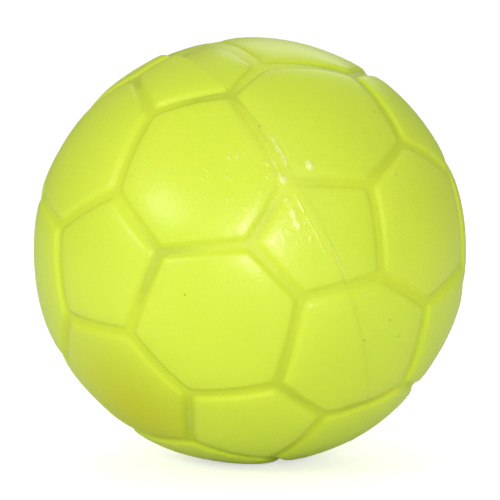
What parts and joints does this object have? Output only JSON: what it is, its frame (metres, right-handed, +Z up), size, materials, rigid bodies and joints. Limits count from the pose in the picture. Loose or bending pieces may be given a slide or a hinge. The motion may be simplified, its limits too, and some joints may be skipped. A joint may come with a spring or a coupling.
{
  "type": "playground ball",
  "caption": "Inflatable playground ball with a moulded pentagon and hexagon relief, two-half rubber cover, wound carcass, bladder and needle valve.",
  "frame": {"origin": "centre of the ball", "axes": "+Z up with the ball standing on its contact flat; -Y towards the side seen first, whose middle is a pentagon crossed by the mould's parting line"},
  "size_m": [0.2158, 0.2158, 0.2154],
  "materials": {
    "cover_rubber": "satin",
    "nylon_winding": "matte",
    "bladder_butyl": "matte",
    "valve_rubber": "satin"
  },
  "bodies": {
    "ball": {"cover_half_a": "cover_rubber", "cover_half_b": "cover_rubber", "wound_carcass": "nylon_winding", "bladder": "bladder_butyl", "valve_patch": "bladder_butyl", "valve_housing": "valve_rubber"},
    "insert": {"valve_insert": "valve_rubber"}
  },
  "joints": [
    {"name": "insert_pull", "type": "slide", "parent": "ball", "child": "insert", "axis": [-0.8951, 0.2493, 0.3695], "range_m": [0, 0.016]}
  ]
}
